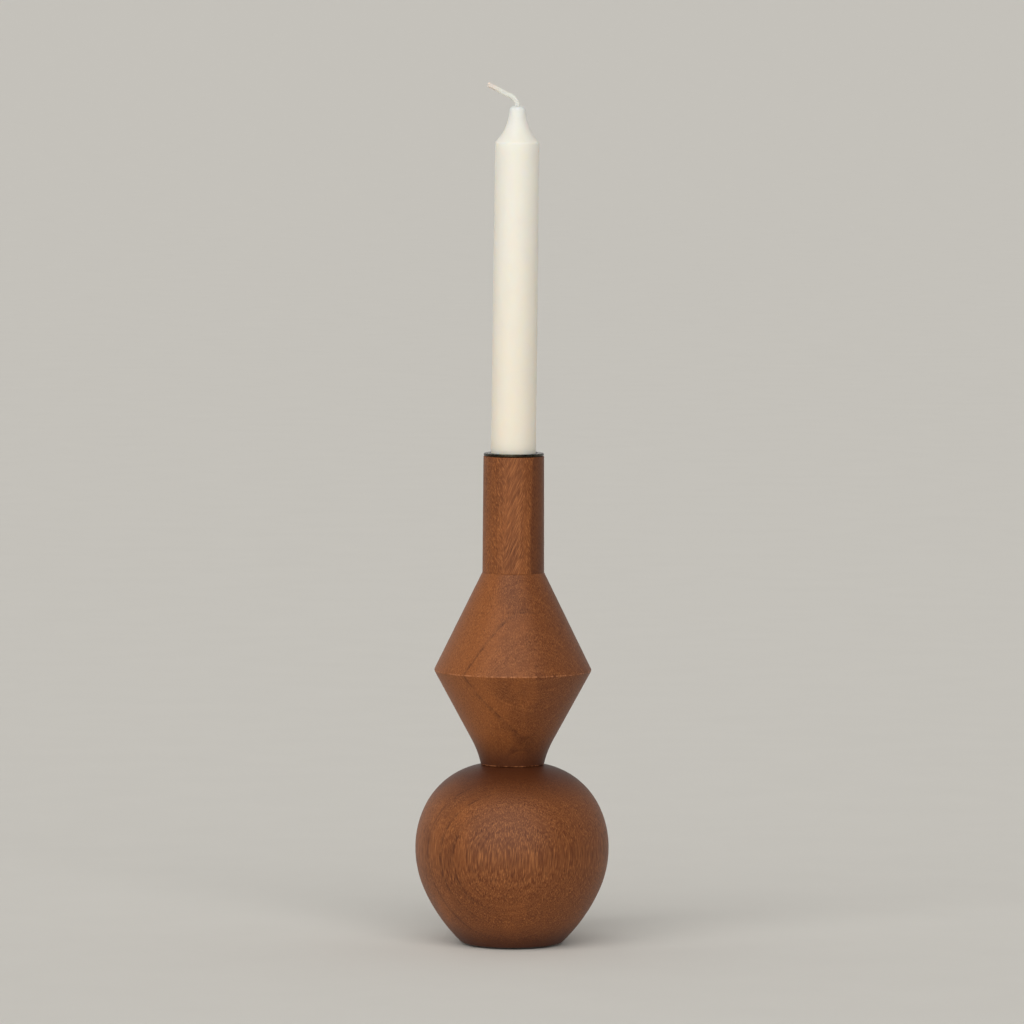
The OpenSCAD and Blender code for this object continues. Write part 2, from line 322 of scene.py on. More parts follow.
# %% Measure the depth below the bark
def depth_in_tree(tree, in_mm, pith, bow, seed):
    """Coordinates bent as the tree grew, and the distance from its pith in mm."""
    moved = add(tree, "ShaderNodeVectorMath", in_mm, pith, operation="SUBTRACT")
    slow = add(tree, "ShaderNodeMapping", moved, Location=(seed, seed, seed), Scale=(1, 1, 0.4))
    sway = add(tree, "ShaderNodeTexNoise", slow, Scale=0.025, Detail=2.0, Roughness=0.5).outputs["Color"]
    centred = add(tree, "ShaderNodeVectorMath", sway, (0.5, 0.5, 0.5), operation="SUBTRACT")
    bend = add(tree, "ShaderNodeVectorMath", centred, Scale=4.0, operation="SCALE")
    bent = add(tree, "ShaderNodeVectorMath", moved, bend, operation="ADD")
    # The trunk is bowed too: below one height its layers fall back towards the pith.
    parts = add(tree, "ShaderNodeSeparateXYZ", bent)
    drop = add(tree, "ShaderNodeMath", bow[0] - pith[2], parts.outputs[2], operation="SUBTRACT")
    drop = add(tree, "ShaderNodeMath", drop, 0.0, operation="MAXIMUM")
    back = add(tree, "ShaderNodeMath", drop, drop, operation="MULTIPLY")
    back = add(tree, "ShaderNodeMath", back, bow[1], operation="MULTIPLY")
    y = add(tree, "ShaderNodeMath", parts.outputs[1], back, operation="SUBTRACT")
    flat = add(tree, "ShaderNodeCombineXYZ", parts.outputs[0], y)
    return bent, add(tree, "ShaderNodeVectorMath", flat, operation="LENGTH")


# %% Fibres and pores that lean one way and the other
def fibres_and_pores(tree, bent, depth, lean, ribbon_start):
    """How light the fibres are and where the pores lie, each from 0 to 1."""
    turns = add(tree, "ShaderNodeMath", depth, math.tau / RIBBON_GAP, operation="MULTIPLY")
    turns = add(tree, "ShaderNodeMath", turns, ribbon_start, operation="SUBTRACT")
    wave = add(tree, "ShaderNodeMath", turns, operation="SINE")
    side = add(tree, "ShaderNodeMapRange", wave, -0.5, 0.5, **SMOOTH)
    fibres = []
    pores = []
    for way in (1, -1):
        turn = (0, math.radians(way * lean), 0)
        fine = add(
            tree, "ShaderNodeMapping", bent, vector_type="TEXTURE",
            Rotation=turn, Scale=(FIBRE_GAP, FIBRE_GAP, FIBRE_LENGTH),
        )
        fibres.append(add(tree, "ShaderNodeTexNoise", fine, Scale=1.0, Detail=2.0, Roughness=0.6))
        coarse = add(
            tree, "ShaderNodeMapping", bent, vector_type="TEXTURE",
            Rotation=turn, Scale=(PORE_GAP, PORE_GAP, PORE_LENGTH),
        )
        cell = add(tree, "ShaderNodeTexVoronoi", coarse, Scale=1.0, Randomness=1.0)
        pores.append(add(tree, "ShaderNodeMapRange", cell, 0.12, 0.36, 1.0, 0.0, **SMOOTH))
    return add(tree, "ShaderNodeMix", side, *fibres), add(tree, "ShaderNodeMix", side, *pores)


# %% Growth lines
def growth_lines(tree, colour, in_mm, sideways, depth, years, fade):
    """The colour with a broken dark line where each year's growth ends."""
    uneven = add(tree, "ShaderNodeTexNoise", in_mm, Scale=0.18, Detail=4.0, Roughness=0.65)
    uneven = add(tree, "ShaderNodeMapRange", uneven, 0.38, 0.6, 0.25, 1.0, **SMOOTH)
    clear = add(tree, "ShaderNodeMapRange", sideways, *fade, 0.65, 0.0, **SMOOTH)
    clear = add(tree, "ShaderNodeMath", clear, uneven, operation="MULTIPLY")
    for year in years:
        # The wood darkens slowly towards the end of a year's growth and is pale again at once after it.
        slow = add(tree, "ShaderNodeMapRange", depth, year - LATE_GROWTH, year, **SMOOTH)
        slow = add(tree, "ShaderNodeMath", slow, 3.0, operation="POWER")
        stop = add(tree, "ShaderNodeMapRange", depth, year, year + GROWTH_LINE, 1.0, 0.0, **SMOOTH)
        share = add(tree, "ShaderNodeMath", slow, stop, operation="MULTIPLY")
        share = add(tree, "ShaderNodeMath", share, clear, operation="MULTIPLY")
        colour = add(tree, "ShaderNodeMix", share, colour, linear(DARK_STAIN_AND_SHADE), **COLOUR)
    return colour


# %% Painted shade near the joint and the foot, and worn edges
def near_height(tree, up, height, full, gone, most):
    """`most` up to `full` mm above or below a height, and nothing from `gone` mm on."""
    off = add(tree, "ShaderNodeMath", up, height, operation="SUBTRACT")
    off = add(tree, "ShaderNodeMath", off, operation="ABSOLUTE")
    return add(tree, "ShaderNodeMapRange", off, full, gone, most, 0.0, **SMOOTH)


def shade_and_worn_edges(tree, colour, in_mm, up, shaded_heights, rubbed):
    """The colour with painted shade near some heights, and with the stain rubbed off along others."""
    for height, reach_mm in shaded_heights:
        # Painted shade: the wood is drawn darker close to each height, at the joint and the foot where shade
        # falls.
        share = near_height(tree, up, height, 0.0, reach_mm, 0.9)
        colour = add(tree, "ShaderNodeMix", share, colour, linear(DARK_STAIN_AND_SHADE), **COLOUR)
    for height in rubbed:
        # Sanding went through the stain along this edge, in some places more than in others.
        near = near_height(tree, up, height, 0.15, 0.5, 1.0)
        patch = add(tree, "ShaderNodeTexNoise", in_mm, Scale=0.6, Detail=3.0, Roughness=0.6)
        patch = add(tree, "ShaderNodeMapRange", patch, 0.4, 0.68, 0.0, 0.8, **SMOOTH)
        share = add(tree, "ShaderNodeMath", near, patch, operation="MULTIPLY")
        colour = add(tree, "ShaderNodeMix", share, colour, linear(RUBBED_EDGE), **COLOUR)
    return colour


# %% The finished wood
def stained_mahogany(
    name, pith, bow=(0, 0), lean=8.0, ribbon_start=0.0, seed=0.0, years=(), fade=(0, 1), dark_from=None,
    figure=1.0, darker=0.0, right_side_shade=0.0, shaded_heights=(), rubbed=(),
):
    """Solid stained wood, with lengths in mm and angles in degrees.

    pith: a point on the middle of the tree. bow: the height below which the trunk curves, and how strongly.
    lean: how far the fibres lean to either side. ribbon_start: where in that to-and-fro the piece begins.
    years: depths at which a year's growth ends. fade: where its line starts to fade along X, and is gone.
    dark_from: depth from the pith beyond which the wood is drawn darker. figure: how strongly the fibres show.
    darker: how much more stain the piece took. right_side_shade: painted shade, how much darker for each mm
    along X.
    gathered: heights near which painted shade darkens the wood, and how far it reaches. rubbed: heights of
    edges where the stain is worn off.
    """
    material, tree, in_mm = new_material(name)
    bent, depth = depth_in_tree(tree, in_mm, pith, bow, seed)
    fibre, pore = fibres_and_pores(tree, bent, depth, lean, ribbon_start)
    place = add(tree, "ShaderNodeSeparateXYZ", in_mm)
    thin = add(tree, "ShaderNodeMath", depth, 1 / FINE_LAYER_GAP, operation="MULTIPLY")
    layer = add(tree, "ShaderNodeTexNoise", W=thin, Scale=1.0, Detail=1.0, **LINE_1D)
    crowd = add(tree, "ShaderNodeMapRange", layer, 0.35, 0.65, 0.6, 1.0, **SMOOTH)
    pore = add(tree, "ShaderNodeMath", pore, crowd, operation="MULTIPLY")

    # Clouds a few centimetres long, where the stain took more or less.
    cloud_place = add(tree, "ShaderNodeMapping", bent, Scale=(0.07, 0.07, 0.02))
    cloud = add(tree, "ShaderNodeTexNoise", cloud_place, Scale=1.0, Detail=3.0, Roughness=0.5)
    # right_side_shade is painted shade: it draws the clouds darker for each mm towards +X, the side away from
    # the light.
    cloud = add(tree, "ShaderNodeMath", place.outputs[0], -right_side_shade, cloud, operation="MULTIPLY_ADD")
    cloud = add(tree, "ShaderNodeMapRange", cloud, 0.3 + darker, 0.7 + darker, **SMOOTH)

    colour = add(tree, "ShaderNodeMix", cloud, linear(DEEP_STAIN_AND_SHADE), linear(STAIN_WARM), **COLOUR)
    share = add(tree, "ShaderNodeMapRange", layer, 0.4, 0.7, 0.0, 0.12, **SMOOTH)
    colour = add(tree, "ShaderNodeMix", share, colour, linear(STAIN_PALE), **COLOUR)
    share = add(tree, "ShaderNodeMapRange", fibre, 0.45, 0.72, 0.0, 0.8 * figure, **SMOOTH)
    colour = add(tree, "ShaderNodeMix", share, colour, linear(STAIN_PALE), **COLOUR)
    share = add(tree, "ShaderNodeMapRange", fibre, 0.25, 0.5, 0.6 * figure, 0.0, **SMOOTH)
    colour = add(tree, "ShaderNodeMix", share, colour, linear(DARK_STAIN_AND_SHADE), **COLOUR)
    colour = growth_lines(tree, colour, in_mm, place.outputs[0], depth, years, fade)
    share = add(tree, "ShaderNodeMath", pore, 0.45, operation="MULTIPLY")
    colour = add(tree, "ShaderNodeMix", share, colour, linear(PORE_BROWN), **COLOUR)
    # Beyond dark_from mm from the pith the wood is drawn darker; on the neck this is its right side.
    if dark_from is not None:
        share = add(tree, "ShaderNodeMapRange", depth, dark_from, dark_from + 1.0, 0.0, 0.6, **SMOOTH)
        colour = add(tree, "ShaderNodeMix", share, colour, linear(DARK_STAIN_AND_SHADE), **COLOUR)
    colour = shade_and_worn_edges(tree, colour, in_mm, place.outputs[2], shaded_heights, rubbed)

    relief = add(tree, "ShaderNodeMath", fibre, 0.4, operation="MULTIPLY")
    relief = add(tree, "ShaderNodeMath", relief, pore, operation="SUBTRACT")
    bump = add(tree, "ShaderNodeBump", Height=relief, Strength=0.5, Distance=0.05 * MM)
    rough = add(tree, "ShaderNodeMapRange", relief, -1.0, 0.3, 0.6, 0.46)
    surface = add(
        tree, "ShaderNodeBsdfPrincipled", Base_Color=colour, Roughness=rough, Normal=bump, IOR=1.5,
        Specular_IOR_Level=0.25,
    )
    add(tree, "ShaderNodeOutputMaterial", surface)
    return material


# %% The wood of each piece
# right_side_shade darkens the ball and the diamond towards +X: painted shade.
ridge_z = 135.4
worn_lip_z = seat_z + 0.3
# gathered draws painted shade near the joint of the ball and the diamond, and near the ball's foot.
ball_wood = stained_mahogany(
    "stained_mahogany_ball", (3, 190, 0), lean=3.0, seed=1.7, years=(230.5, 226.0, 219.0), fade=(-24, 2),
    figure=0.9, darker=0.18, right_side_shade=0.004, shaded_heights=((seat_z, 19.0), (foot_z, 14.0)),
)
diamond_wood = stained_mahogany(
    "stained_mahogany_diamond", (-45.4, 150.3, 0), bow=(119.5, 0.0143), lean=7.0, seed=4.1, years=(181.6,),
    fade=(7, 15), figure=0.7, right_side_shade=0.018, shaded_heights=((seat_z, 19.0),), rubbed=(ridge_z, worn_lip_z),
)
neck_wood = stained_mahogany(
    "stained_mahogany_neck", (-52, 20, 0), lean=22.0, ribbon_start=1.18, seed=8.6, dark_from=68.5,
    figure=0.9, darker=-0.08,
)
for wood in (ball_wood, diamond_wood, neck_wood):
    print(f"{wood.name}: {len(wood.node_tree.nodes)} nodes")

# %% [markdown]
# ## The ball
#
# The ball isn't a true sphere. From its widest place it closes over in two arcs to a small flat seat, and it
# draws in below in a longer, flatter curve to a foot that is wide enough to stand on. The outline goes on
# into the hidden holes, for the felt and for the dowel, so that the mesh is a solid block with real holes.

# %% Turn the ball
ball_z = 47.8
shoulder_arc_r = 46.0
shoulder_arc_end = 27.0
crown_arc_r = 37.5
belly_arc_r = 51.5
belly_arc_end = -24.5
flank_arc_r = 83.0
foot_edge_r = 2.5
felt_gap = 0.2
glue_gap = 0.05
dowel_end_gap = 0.5


def ball_outline():
    shoulder_x = ball_r - shoulder_arc_r
    handover = math.radians(shoulder_arc_end)
    crown_x = shoulder_x + (shoulder_arc_r - crown_arc_r) * math.cos(handover)
    crown_z = ball_z + (shoulder_arc_r - crown_arc_r) * math.sin(handover)
    seat_angle = math.degrees(math.asin((seat_z - crown_z) / crown_arc_r))
    belly_x = ball_r - belly_arc_r
    lower = math.radians(belly_arc_end)
    flank_x = belly_x + (belly_arc_r - flank_arc_r) * math.cos(lower)
    flank_z = ball_z + (belly_arc_r - flank_arc_r) * math.sin(lower)
    edge_z = foot_z + foot_edge_r
    edge_angle = math.degrees(math.asin((edge_z - flank_z) / (flank_arc_r - foot_edge_r)))
    edge_x = flank_x + (flank_arc_r - foot_edge_r) * math.cos(math.radians(edge_angle))
    hole_r = base_dowel_r + glue_gap
    hole_z = base_dowel_foot_z - dowel_end_gap
    recess = [(0, felt_t), (felt_r + felt_gap, felt_t), (felt_r + felt_gap, foot_z)]
    hole = [(hole_r, seat_z), (hole_r, hole_z), (0, hole_z)]
    return (
        recess
        + arc((edge_x, edge_z), foot_edge_r, -90, edge_angle, 0.3)
        + arc((flank_x, flank_z), flank_arc_r, edge_angle, belly_arc_end)[1:]
        + arc((belly_x, ball_z), belly_arc_r, belly_arc_end, 0)[1:]
        + arc((shoulder_x, ball_z), shoulder_arc_r, 0, shoulder_arc_end)[1:]
        + arc((crown_x, crown_z), crown_arc_r, shoulder_arc_end, seat_angle)[1:]
        + hole
    )


turned_ball = turn_piece("turned_ball", ball_outline(), ball_wood, steps=224)

# %% [markdown]
# ## The diamond
#
# Two cones that share a ridge, cut from one block. The ridge has a fine arris, about as much as a touch of
# sandpaper takes off, and it catches a line of light. At its foot the lower cone ends in a hollow cove and a
# small rounded lip, so that a dark groove shows between the diamond and the ball.

# %% Turn the diamond
ridge_r = 38.75
ridge_edge_r = 1.5
lower_slope = 28.5
cove_r = 46.0
cove_top_z = 101.0
lip_r = 0.5
seam_r = 0.1


def diamond_outline():
    slope = math.radians(lower_slope)
    cove_x = ridge_r - (ridge_z - cove_top_z) * math.tan(slope) + cove_r * math.cos(slope)
    cove_z = cove_top_z - cove_r * math.sin(slope)
    lip_z = seat_z + lip_r
    lip_angle = 180 - math.degrees(math.asin((lip_z - cove_z) / (cove_r + lip_r)))
    lip_x = cove_x + (cove_r + lip_r) * math.cos(math.radians(lip_angle))
    upper_slope = math.degrees(math.atan((ridge_r - neck_foot_r) / (neck_z - ridge_z)))
    inset = ridge_edge_r / math.cos(math.radians((lower_slope + upper_slope) / 2))
    facing = math.radians((upper_slope - lower_slope) / 2)
    ridge_x = ridge_r - inset * math.cos(facing)
    ridge_mid_z = ridge_z - inset * math.sin(facing)
    low_hole_r = base_dowel_r + glue_gap
    high_hole_r = neck_dowel_r + glue_gap
    low_hole_z = base_dowel_top_z + dowel_end_gap
    high_hole_z = neck_dowel_foot_z - dowel_end_gap
    shoulder = neck_foot_r + seam_r * math.tan(math.radians(upper_slope))
    return (
        [(0, low_hole_z), (low_hole_r, low_hole_z), (low_hole_r, seat_z)]
        + arc((lip_x, lip_z), lip_r, -90, lip_angle - 180, 0.12)
        + arc((cove_x, cove_z), cove_r, lip_angle, 180 - lower_slope)[1:]
        + arc((ridge_x, ridge_mid_z), ridge_edge_r, -lower_slope, upper_slope, 0.2)
        + [(shoulder, neck_z - seam_r), (neck_foot_r - seam_r, neck_z)]
        + [(high_hole_r, neck_z), (high_hole_r, high_hole_z), (0, high_hole_z)]
    )


turned_diamond = turn_piece("turned_diamond", diamond_outline(), diamond_wood, steps=208)

# %% [markdown]
# ## The neck
#
# A plain cylinder that narrows by half a millimetre towards the top. Its top edge is eased, and its foot has
# the same fine chamfer as the diamond below it, so that the joint reads as a hair line.

# %% Turn the neck
neck_top_r = 14.9
neck_edge_r = 0.5
cup_out_r = 12.1
screw_hole_r = 1.54


def neck_outline():
    hole_r = neck_dowel_r + glue_gap
    hole_z = neck_dowel_top_z + dowel_end_gap
    bore_r = cup_out_r + glue_gap
    return (
        [(0, hole_z), (hole_r, hole_z), (hole_r, neck_z)]
        + arc((neck_foot_r - seam_r, neck_z + seam_r), seam_r, -90, 0, 0.08)
        + arc((neck_top_r - neck_edge_r, neck_top_z - neck_edge_r), neck_edge_r, 0, 90, 0.1)
        + [(bore_r, neck_top_z), (bore_r, cup_base_z)]
        + [(screw_hole_r, cup_base_z), (screw_hole_r, screw_foot_z), (0, screw_foot_z)]
    )


turned_neck = turn_piece("turned_neck", neck_outline(), neck_wood, steps=160)

# %% [markdown]
# ## The cup
#
# The cup is a thin steel pressing with a rolled flange, blackened in hot oil. Blackening leaves a brown-black
# skin that is still metal, so it is dark when seen straight on and bright where it catches light at the
# edge. The press tool and the polishing before it leave faint rings, which the bump draws.

# %% Blackened steel, and the cup
def blackened_steel():
    material, tree, in_mm = new_material("blackened_steel")
    flat = add(tree, "ShaderNodeVectorMath", in_mm, (1, 1, 0), operation="MULTIPLY")
    radius = add(tree, "ShaderNodeVectorMath", flat, operation="LENGTH")
    rings = add(tree, "ShaderNodeTexNoise", W=radius, Scale=4.0, Detail=2.0, **LINE_1D)
    blotch = add(tree, "ShaderNodeTexNoise", in_mm, Scale=0.35, Detail=4.0, Roughness=0.6)
    share = add(tree, "ShaderNodeMapRange", blotch, 0.35, 0.65, **SMOOTH)
    colour = add(tree, "ShaderNodeMix", share, linear("#2b271e"), linear("#443f33"), **COLOUR)
    rough = add(tree, "ShaderNodeMapRange", blotch, 0.3, 0.7, 0.2, 0.34)
    bump = add(tree, "ShaderNodeBump", Height=rings, Strength=0.25, Distance=0.01 * MM)
    surface = add(
        tree, "ShaderNodeBsdfPrincipled", Base_Color=colour, Metallic=1.0, Roughness=rough, Normal=bump,
    )
    add(tree, "ShaderNodeOutputMaterial", surface)
    return material


cup_bore_r = 11.6
cup_floor_z = flange_top_z - 25.1
cup_lip_r = 0.35
screw_room = 0.1
screw_r = 1.5
screw_head_t = 1.3
screw_rim_t = 0.2


def cup_outline():
    edge = (flange_top_z - neck_top_z) / 2
    hole_r = screw_r + screw_room
    head_r = screw_head_r + screw_room
    return (
        [(hole_r, cup_base_z), (cup_out_r - edge, cup_base_z), (cup_out_r, cup_base_z + edge)]
        + [(cup_out_r, neck_top_z)]
        + arc((flange_r - edge, neck_top_z + edge), edge, -90, 90, 0.1)
        + arc((cup_bore_r + cup_lip_r, flange_top_z - cup_lip_r), cup_lip_r, 90, 180, 0.08)
        + [(cup_bore_r, cup_floor_z), (head_r, cup_floor_z), (head_r, screw_top_z - screw_rim_t)]
        + [(hole_r, screw_top_z - screw_head_t)]
    )


pressed_cup = turn_piece("pressed_cup", cup_outline(), blackened_steel(), steps=144, step=1.2, closed=True)

# %% [markdown]
# ## The felt
#
# A felt disc is glued into a recess in the foot so that the wood doesn't scratch a table. Felt is pressed
# wool: it has no weave, only short fibres in every direction, and its cut edge is slightly rounded. Sheen
# stands for the fuzz that catches light at a low angle.

# %% Pressed felt, and the foot's disc
def pressed_felt():
    material, tree, in_mm = new_material("pressed_wool_felt")
    fibres = add(tree, "ShaderNodeTexNoise", in_mm, Scale=2.4, Detail=6.0, Roughness=0.75)
    clumps = add(tree, "ShaderNodeTexNoise", in_mm, Scale=0.3, Detail=3.0)
    both = add(tree, "ShaderNodeMath", fibres, clumps, operation="ADD")
    share = add(tree, "ShaderNodeMapRange", both, 0.7, 1.3, **SMOOTH)
    colour = add(tree, "ShaderNodeMix", share, linear("#1c1b1a"), linear("#3d3b38"), **COLOUR)
    bump = add(tree, "ShaderNodeBump", Height=fibres, Strength=0.8, Distance=0.15 * MM)
    surface = add(
        tree, "ShaderNodeBsdfPrincipled", Base_Color=colour, Roughness=0.95, Normal=bump,
        Sheen_Weight=0.4, Sheen_Roughness=0.5,
    )
    add(tree, "ShaderNodeOutputMaterial", surface)
    return material


felt_edge_r = 0.35
felt_outline = (
    [(0, 0)]
    + arc((felt_r - felt_edge_r, felt_edge_r), felt_edge_r, -90, 0, 0.1)
    + arc((felt_r - felt_edge_r, felt_t - felt_edge_r), felt_edge_r, 0, 90, 0.1)
    + [(0, felt_t)]
)
felt_glide = turn_piece("felt_glide", felt_outline, pressed_felt(), steps=128, step=1.0)

# %% [markdown]
# ## The candle
#
# A dinner candle is drawn or pressed in a long straight stick, and its top is milled to a crown: a rounded
# tip, a hollow sweep and a soft shoulder. It stands in its cup with a little play, so it leans by about half
# a degree. It is made upright in its own frame, then put in its place, and that place is baked in its mesh.
#
# Wax lets light in and scatters it, which softens shadows and makes the thin crown glow. Subsurface
# scattering does this. Light goes about 10 mm into solid wax, and only half a millimetre into the wick's.

# %% Candle wax, and the candle
WAX_GLOW = (1.0, 0.8, 0.6)  # how far red, green and blue light spread in wax, one against another


def candle_wax():
    material, tree, in_mm = new_material("stearin_candle_wax")
    tall = add(tree, "ShaderNodeMapping", in_mm, Scale=(0.5, 0.5, 0.03))
    draw_marks = add(tree, "ShaderNodeTexNoise", tall, Scale=1.0, Detail=4.0, Roughness=0.6)
    # The foot is a little yellower than the top, and a faint bloom lies over both.
    bloom = add(tree, "ShaderNodeTexNoise", in_mm, Scale=0.12, Detail=3.0)
    up = add(tree, "ShaderNodeSeparateXYZ", in_mm).outputs[2]
    high = add(tree, "ShaderNodeMapRange", up, neck_top_z, neck_top_z + 160, -0.1, 0.7, **SMOOTH)
    share = add(tree, "ShaderNodeMath", bloom, 0.4, high, operation="MULTIPLY_ADD")
    colour = add(tree, "ShaderNodeMix", share, linear("#e4dccd"), linear("#e6e4dc"), **COLOUR)
    bump = add(tree, "ShaderNodeBump", Height=draw_marks, Strength=0.3, Distance=0.08 * MM)
    rough = add(tree, "ShaderNodeMapRange", draw_marks, 0.3, 0.7, 0.4, 0.5)
    surface = add(
        tree, "ShaderNodeBsdfPrincipled", Base_Color=colour, Roughness=rough, Normal=bump, IOR=1.44,
        Subsurface_Weight=1.0, Subsurface_Radius=WAX_GLOW, Subsurface_Scale=10.0 * MM,
    )
    add(tree, "ShaderNodeOutputMaterial", surface)
    return material


candle_len = 195.0
candle_foot_r = 11.1
candle_top_r = 10.8
candle_edge_r = 0.6
candle_lean = 0.45
candle_foot_x = -0.42
candle_foot_z = cup_floor_z + 0.1
tip_r = 3.95
tip_edge_r = 2.6
flare_arc_r = 22.6
flare_depth = 6.4
flare_start_r = 4.6
flare_slope = 11.5
shoulder_edge_r = 1.0
wick_hole_r = 1.07


def candle_outline():
    flare_x = flare_start_r + flare_arc_r * math.cos(math.radians(flare_slope))
    flare_z = candle_len - flare_depth + flare_arc_r * math.sin(math.radians(flare_slope))
    edge_x = candle_top_r - shoulder_edge_r
    far = flare_arc_r + shoulder_edge_r
    edge_angle = math.degrees(math.acos((flare_x - edge_x) / far))
    edge_z = flare_z - far * math.sin(math.radians(edge_angle))
    return (
        [(wick_hole_r, 0)]
        + arc((candle_foot_r - candle_edge_r, candle_edge_r), candle_edge_r, -90, 0, 0.15)
        + arc((edge_x, edge_z), shoulder_edge_r, 0, edge_angle, 0.12)
        + arc((flare_x, flare_z), flare_arc_r, 180 + edge_angle, 180 + flare_slope, 0.4)[1:]
        + arc((tip_r - tip_edge_r, candle_len - tip_edge_r), tip_edge_r, 0, 90, 0.2)
        + [(wick_hole_r, candle_len)]
    )


in_cup = (
    Matrix.Translation((candle_foot_x * MM, 0, candle_foot_z * MM))
    @ Matrix.Rotation(math.radians(candle_lean), 4, "Y")
)
drawn_candle = turn_piece(
    "drawn_candle", candle_outline(), candle_wax(), steps=128, place=in_cup, step=3.0, closed=True,
)

# %% [markdown]
# ## The wick
#
# A wick is a flat plait of cotton strands, soaked in wax. Each strand of a plait swings from side to side
# once in each pitch and dips in and out twice as fast, and the strands follow each other a third of a turn
# apart. The tree moves copies of one smooth line by that rule, gives them thickness and joins them. The line
# runs up the middle of the candle and bends over at the top, where somebody has pushed it aside.

# %% Build the plait tree
STRANDS = 3


def build_plait():
    tree, given = new_tree(
        "plait", Spacing=0.2 * MM, Pitch=3.4 * MM, Width=0.5 * MM, Depth=0.25 * MM, Strand=0.8 * MM,
    )
    line = add(tree, "GeometryNodeCurveSplineType", given["Geometry"], spline_type="CATMULL_ROM")
    even = add(tree, "GeometryNodeResampleCurve", line, mode="LENGTH", Length=given["Spacing"])
    along = add(tree, "GeometryNodeSplineParameter").outputs["Length"]
    turns = add(tree, "ShaderNodeMath", along, given["Pitch"], operation="DIVIDE")
    turns = add(tree, "ShaderNodeMath", turns, math.tau, operation="MULTIPLY")
    tangent = add(tree, "GeometryNodeInputTangent")
    sideways = add(tree, "ShaderNodeVectorMath", tangent, (0, 1, 0), operation="CROSS_PRODUCT")
    round_bar = add(tree, "GeometryNodeCurvePrimitiveCircle", Resolution=10, Radius=given["Strand"])
    strands = add(tree, "GeometryNodeJoinGeometry")
    for strand in range(STRANDS):
        phase = add(tree, "ShaderNodeMath", turns, strand * math.tau / STRANDS, operation="ADD")
        swing = add(tree, "ShaderNodeMath", phase, operation="SINE")
        swing = add(tree, "ShaderNodeMath", swing, given["Width"], operation="MULTIPLY")
        twice = add(tree, "ShaderNodeMath", phase, 2.0, operation="MULTIPLY")
        dip = add(tree, "ShaderNodeMath", twice, operation="SINE")
        dip = add(tree, "ShaderNodeMath", dip, given["Depth"], operation="MULTIPLY")
        across = add(tree, "ShaderNodeVectorMath", sideways, Scale=swing, operation="SCALE")
        inwards = add(tree, "ShaderNodeCombineXYZ", Y=dip)
        shift = add(tree, "ShaderNodeVectorMath", across, inwards, operation="ADD")
        moved = add(tree, "GeometryNodeSetPosition", even, Offset=shift)
        bar = add(tree, "GeometryNodeCurveToMesh", moved, round_bar, Fill_Caps=True)
        tree.links.new(bar.outputs[0], strands.inputs[0])
    smooth = add(tree, "GeometryNodeSetShadeSmooth", strands)
    return close_tree(tree, smooth, given["Material"])


PLAIT = build_plait()
print("the plait has", len(PLAIT.nodes), "nodes")

# %% Waxed cotton, and the wick
def waxed_cotton():
    material, tree, in_mm = new_material("waxed_cotton")
    threads = add(tree, "ShaderNodeTexNoise", in_mm, Scale=3.5, Detail=4.0, Roughness=0.7)
    share = add(tree, "ShaderNodeMapRange", threads, 0.35, 0.65, **SMOOTH)
    colour = add(tree, "ShaderNodeMix", share, linear("#d9d7cc"), linear("#efede3"), **COLOUR)
    # Hot wax drew a little colour to the free end.
    sideways = add(tree, "ShaderNodeSeparateXYZ", in_mm)
    blush = add(tree, "ShaderNodeMapRange", sideways, -11.5, -7.0, 0.4, 0.0, **SMOOTH)
    colour = add(tree, "ShaderNodeMix", blush, colour, linear("#e0c2b6"), **COLOUR)
    bump = add(tree, "ShaderNodeBump", Height=threads, Strength=0.6, Distance=0.06 * MM)
    surface = add(
        tree, "ShaderNodeBsdfPrincipled", Base_Color=colour, Roughness=0.6, Normal=bump, IOR=1.44,
        Subsurface_Weight=0.4, Subsurface_Radius=WAX_GLOW, Subsurface_Scale=0.6 * MM,
    )
    add(tree, "ShaderNodeOutputMaterial", surface)
    return material


wick_route = [
    (-0.1, 0.7), (-0.5, 1.8), (-1.2, 2.9), (-2.1, 3.9), (-3.3, 4.7), (-4.7, 5.3), (-6.2, 6.0),
    (-7.8, 6.9), (-9.5, 7.8), (-11.2, 8.7), (-12.9, 9.5), (-14.4, 10.2),
]
wick_step = 1.4  # even steps up the middle, because a smooth line swings out where its steps change
wick_line = [(0, 0.5 + i * wick_step) for i in range(round(candle_len / wick_step))]
wick_line += [(x, candle_len + z) for x, z in wick_route]
plaited_wick = made_by(
    PLAIT, "plaited_wick", line_of_points("plaited_wick", wick_line), waxed_cotton(), in_cup,
)

# %% [markdown]
# ## Pieces that stay as they are
#
# The dowels and the screw are hidden unless the candlestick is taken apart, and their shapes are right in
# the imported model. They keep their meshes and get finishes: planed beech for the dowels, and zinc-plated
# steel for the screw.

# %% Beech and zinc plate
def planed_beech():
    material, tree, in_mm = new_material("planed_beech")
    tall = add(tree, "ShaderNodeMapping", in_mm, Scale=(1.6, 1.6, 0.12))
    fibres = add(tree, "ShaderNodeTexNoise", tall, Scale=1.0, Detail=4.0, Roughness=0.6)
    fleck_place = add(tree, "ShaderNodeMapping", in_mm, Scale=(1.1, 1.1, 0.35))
    fleck = add(tree, "ShaderNodeTexVoronoi", fleck_place, Scale=1.0)
    share = add(tree, "ShaderNodeMapRange", fibres, 0.35, 0.65, **SMOOTH)
    colour = add(tree, "ShaderNodeMix", share, linear("#c99a66"), linear("#dfb98a"), **COLOUR)
    share = add(tree, "ShaderNodeMapRange", fleck, 0.1, 0.22, 0.5, 0.0, **SMOOTH)
    colour = add(tree, "ShaderNodeMix", share, colour, linear("#9c6a3c"), **COLOUR)
    bump = add(tree, "ShaderNodeBump", Height=fibres, Strength=0.5, Distance=0.05 * MM)
    surface = add(tree, "ShaderNodeBsdfPrincipled", Base_Color=colour, Roughness=0.7, Normal=bump)
    add(tree, "ShaderNodeOutputMaterial", surface)
    return material


